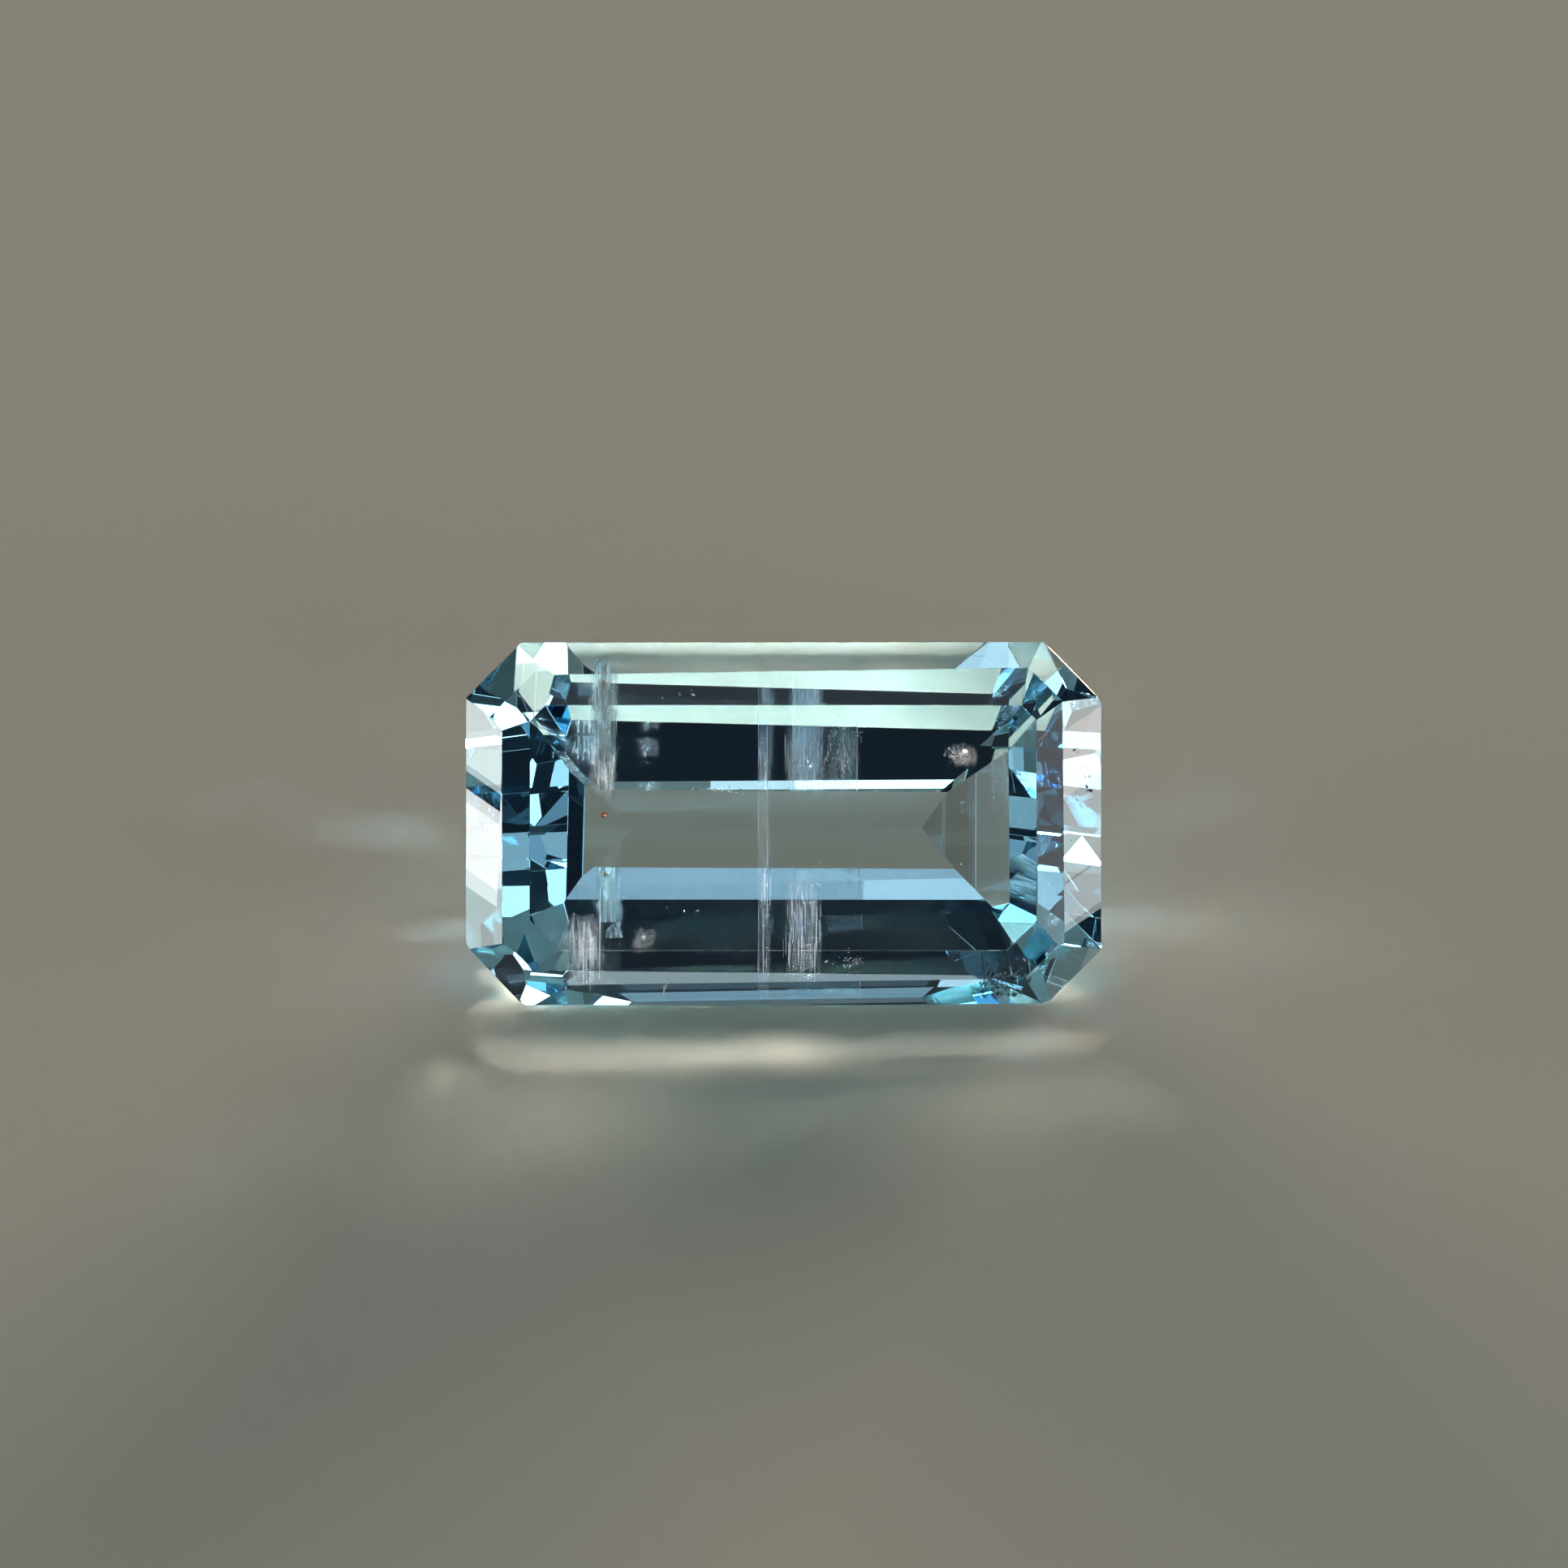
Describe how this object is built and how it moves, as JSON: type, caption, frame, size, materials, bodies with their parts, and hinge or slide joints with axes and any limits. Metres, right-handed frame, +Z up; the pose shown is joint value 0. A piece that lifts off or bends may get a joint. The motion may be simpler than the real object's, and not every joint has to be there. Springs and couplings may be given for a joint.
{
  "type": "faceted jeremejevite gemstone",
  "caption": "Loose pale blue step-cut gemstone with cut corners, lying on one long pavilion facet with its table leaning forward.",
  "frame": {"origin": "on the surface that the stone rests on, under the middle of its bounding box", "axes": "+Z up from the resting facet, +X along the stone's length, -Y towards the side that the table leans to"},
  "size_m": [0.008, 0.0036, 0.0038],
  "materials": {
    "crystal": "clear crystal with polished facets, refractive index 1.645, pale blue"
  },
  "bodies": {
    "root": {"cut_stone": "crystal"}
  },
  "joints": []
}
